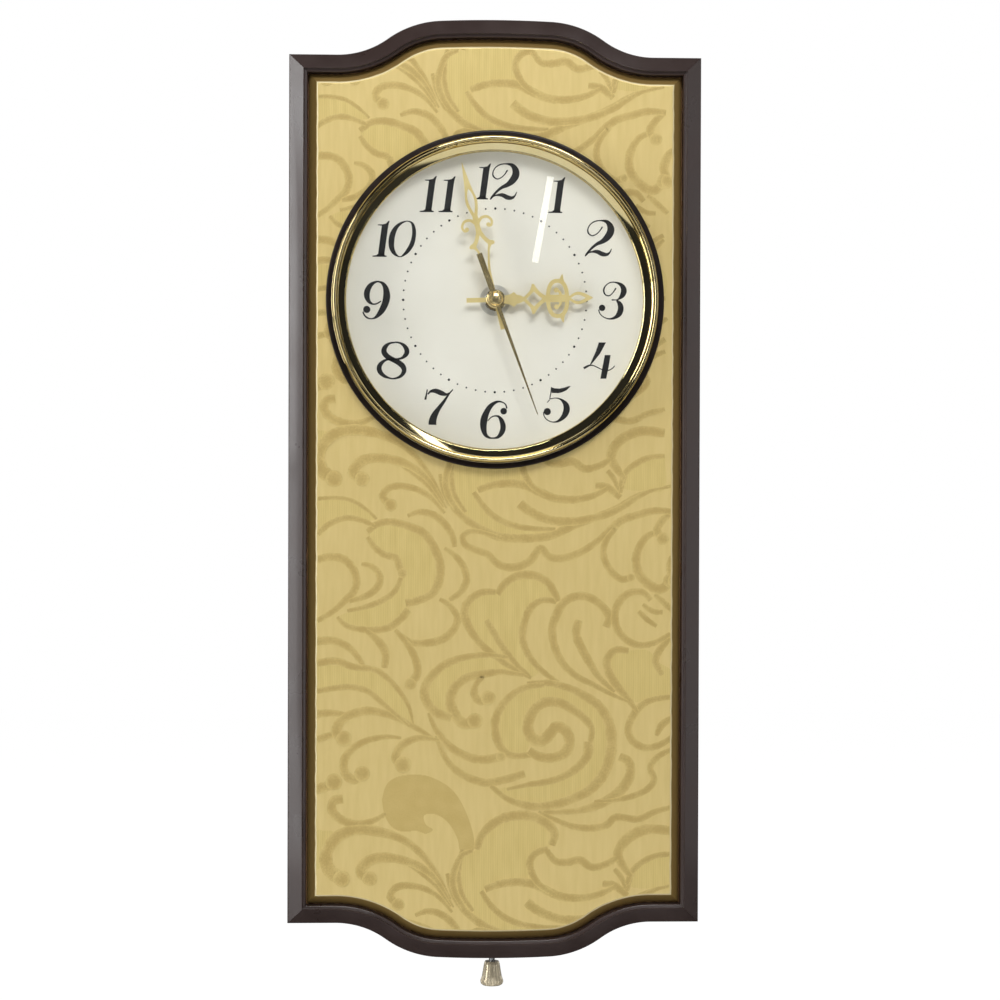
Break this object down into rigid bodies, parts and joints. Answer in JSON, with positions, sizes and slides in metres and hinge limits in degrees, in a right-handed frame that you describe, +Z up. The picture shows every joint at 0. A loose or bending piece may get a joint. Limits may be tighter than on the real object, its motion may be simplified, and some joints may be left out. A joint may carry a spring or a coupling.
{
  "type": "wall clock",
  "caption": "Upright wall clock: ogee-topped lacquered frame, gold brocade panel, domed round dial with scrolled hands, balance movement, battery and a setting knob underneath.",
  "frame": {"origin": "centre of the round hole of the hanger plate, at mid thickness of the plate's wall face", "axes": "+Z up along the case's height, +Y into the wall (the dial faces -Y), +X to the viewer's right"},
  "size_m": [0.206, 0.0676, 0.4866],
  "materials": {
    "lacquer": "gloss lacquer",
    "brocade": "gold brocade on board",
    "plywood": "plain",
    "hardboard": "smooth",
    "zinc_plate": "zinc plated",
    "dark_ring": "satin",
    "gilt": "polished",
    "dial_glass": "clear",
    "dial_paint": "satin",
    "hand_gilt": "satin",
    "nickel": "polished",
    "brass": "satin",
    "steel": "satin",
    "magnet": "dull",
    "blued_steel": "polished",
    "bobbin": "moulded",
    "copper": "enamelled wire",
    "circuit": "phenolic",
    "can": "plain",
    "sleeve": "shrunk",
    "resistor": "dipped",
    "clear_plastic": "clear",
    "black_plastic": "moulded",
    "cell_jacket": "lacquered",
    "red_wire": "insulation",
    "black_wire": "insulation",
    "rubber": "moulded",
    "nylon": "moulded"
  },
  "bodies": {
    "case": {"frame_left_stile": "lacquer", "frame_right_stile": "lacquer", "frame_top_rail": "lacquer", "frame_bottom_rail": "lacquer", "corner_blocks": "plywood", "front_panel": "brocade", "mounting_board": "plywood", "back_board": "hardboard", "back_screws": "steel", "hanger_plate": "zinc_plate", "hanger_rivets": "zinc_plate", "bezel_base_ring": "dark_ring", "bezel": "gilt", "bezel_tabs": "steel", "inner_ring": "gilt", "glass": "dial_glass", "dial": "dial_paint", "dial_washer": "nickel", "dial_nut": "nickel", "front_plate": "brass", "back_plate": "brass", "plate_pillars": "brass", "plate_screws": "steel", "motion_post": "steel", "balance_cock": "brass", "cock_screws": "steel", "hairspring": "blued_steel", "coil_bobbin": "bobbin", "coil_winding": "copper", "circuit_board": "circuit", "board_spacers": "brass", "transistor": "can", "capacitor": "sleeve", "resistors": "resistor", "dust_cover": "clear_plastic", "battery_tray": "black_plastic", "battery_terminal": "steel", "battery_spring": "steel", "lead_positive": "red_wire", "lead_negative": "black_wire", "setting_spring": "steel", "rod_guides": "nylon", "rod_bush": "brass"},
    "minute": {"centre_wheel": "brass", "minute_hand": "hand_gilt"},
    "hour": {"hour_wheel": "brass", "hour_hand": "hand_gilt"},
    "motion": {"minute_wheel": "brass"},
    "third": {"third_wheel": "brass"},
    "seconds": {"seconds_wheel": "brass", "second_hand": "hand_gilt"},
    "index": {"index_wheel": "brass"},
    "balance": {"balance_wheel": "brass", "balance_magnets": "magnet"},
    "regulator": {"regulator": "steel"},
    "battery": {"battery": "cell_jacket"},
    "setting_slider": {"setting_washer": "steel"},
    "setting_rod": {"setting_rod": "steel", "setting_cone": "rubber", "setting_knob": "gilt"}
  },
  "joints": [
    {"name": "minute_turn", "type": "hinge", "parent": "case", "child": "minute", "pos_m": [0, -0.04, -0.1118], "axis": [0, 1, 0], "continuous": true},
    {"name": "hour_turn", "type": "hinge", "parent": "case", "child": "hour", "pos_m": [0, -0.04, -0.1118], "axis": [0, 1, 0], "continuous": true},
    {"name": "motion_turn", "type": "hinge", "parent": "case", "child": "motion", "pos_m": [0, -0.04, -0.1238], "axis": [0, 1, 0], "continuous": true},
    {"name": "third_turn", "type": "hinge", "parent": "case", "child": "third", "pos_m": [0, -0.04, -0.09412], "axis": [0, 1, 0], "continuous": true},
    {"name": "seconds_turn", "type": "hinge", "parent": "case", "child": "seconds", "pos_m": [0, -0.04, -0.1118], "axis": [0, 1, 0], "continuous": true},
    {"name": "index_turn", "type": "hinge", "parent": "case", "child": "index", "pos_m": [0.01406, -0.04, -0.12164], "axis": [0, 1, 0], "continuous": true},
    {"name": "balance_swing", "type": "hinge", "parent": "case", "child": "balance", "pos_m": [0.0162, -0.017, -0.12966], "axis": [0, 1, 0], "range_deg": [-135, 135], "stiffness_Nm_per_rad": 0.00013},
    {"name": "regulator_turn", "type": "hinge", "parent": "case", "child": "regulator", "pos_m": [0.0162, -0.0065, -0.12966], "axis": [0, 1, 0], "range_deg": [-20, 20]},
    {"name": "battery_slide", "type": "slide", "parent": "case", "child": "battery", "axis": [0, 1, 0], "range_m": [0, 0.045]},
    {"name": "setting_push", "type": "slide", "parent": "case", "child": "setting_slider", "axis": [0, 0, 1], "range_m": [0, 0.004], "stiffness_N_per_m": 150, "springref_m": -0.004, "deforming": ["setting_spring"]},
    {"name": "setting_turn", "type": "hinge", "parent": "setting_slider", "child": "setting_rod", "pos_m": [0, -0.03468, -0.3816], "axis": [0, 0, 1], "continuous": true}
  ],
  "couplings": [
    {"joint": "hour_turn", "follows": "minute_turn", "ratio": 0.083333},
    {"joint": "motion_turn", "follows": "minute_turn", "ratio": -0.33333},
    {"joint": "third_turn", "follows": "minute_turn", "ratio": -8},
    {"joint": "seconds_turn", "follows": "minute_turn", "ratio": 60},
    {"joint": "index_turn", "follows": "minute_turn", "ratio": -600}
  ]
}
